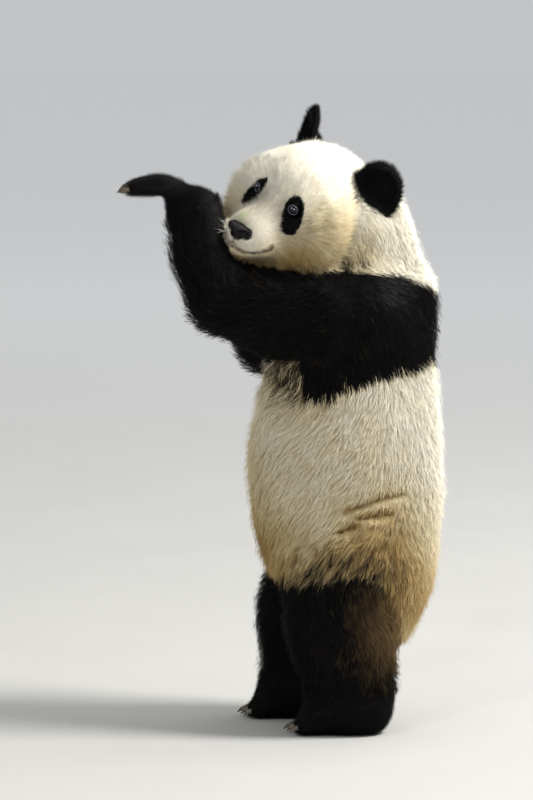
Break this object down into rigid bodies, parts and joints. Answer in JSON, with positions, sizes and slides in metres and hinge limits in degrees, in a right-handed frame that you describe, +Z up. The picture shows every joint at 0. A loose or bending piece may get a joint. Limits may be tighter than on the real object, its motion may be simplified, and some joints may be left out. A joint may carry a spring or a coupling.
{
  "type": "giant panda",
  "caption": "Life-size young giant panda standing upright on its hind feet, both arms stretched forward with the palms level, head turned to its left.",
  "frame": {"origin": "middle of the panda's footprint box on the floor, under the feet", "axes": "+Z up, -Y the way the body faces, +X to its left"},
  "size_m": [0.3788, 0.6002, 1.1526],
  "materials": {
    "cream_fur": "plush coat",
    "black_fur": "plush coat",
    "eye": "wet",
    "nose": "moist",
    "claw": "horn"
  },
  "bodies": {
    "root": {"head": "cream_fur", "neck": "cream_fur", "torso": "cream_fur", "tail": "cream_fur", "shoulders": "black_fur", "left_ear": "black_fur", "left_eye_patch": "black_fur", "left_eye": "eye", "left_upper_arm": "black_fur", "left_forearm": "black_fur", "left_hand": "black_fur", "left_leg": "black_fur", "left_foot": "black_fur", "left_hand_claw_1": "claw", "left_hand_claw_2": "claw", "left_hand_claw_3": "claw", "left_hand_claw_4": "claw", "left_hand_claw_5": "claw", "left_foot_claw_1": "claw", "left_foot_claw_2": "claw", "left_foot_claw_3": "claw", "left_foot_claw_4": "claw", "left_foot_claw_5": "claw", "right_ear": "black_fur", "right_eye_patch": "black_fur", "right_eye": "eye", "right_upper_arm": "black_fur", "right_forearm": "black_fur", "right_hand": "black_fur", "right_leg": "black_fur", "right_foot": "black_fur", "right_hand_claw_1": "claw", "right_hand_claw_2": "claw", "right_hand_claw_3": "claw", "right_hand_claw_4": "claw", "right_hand_claw_5": "claw", "right_foot_claw_1": "claw", "right_foot_claw_2": "claw", "right_foot_claw_3": "claw", "right_foot_claw_4": "claw", "right_foot_claw_5": "claw", "nose": "nose"}
  },
  "joints": []
}
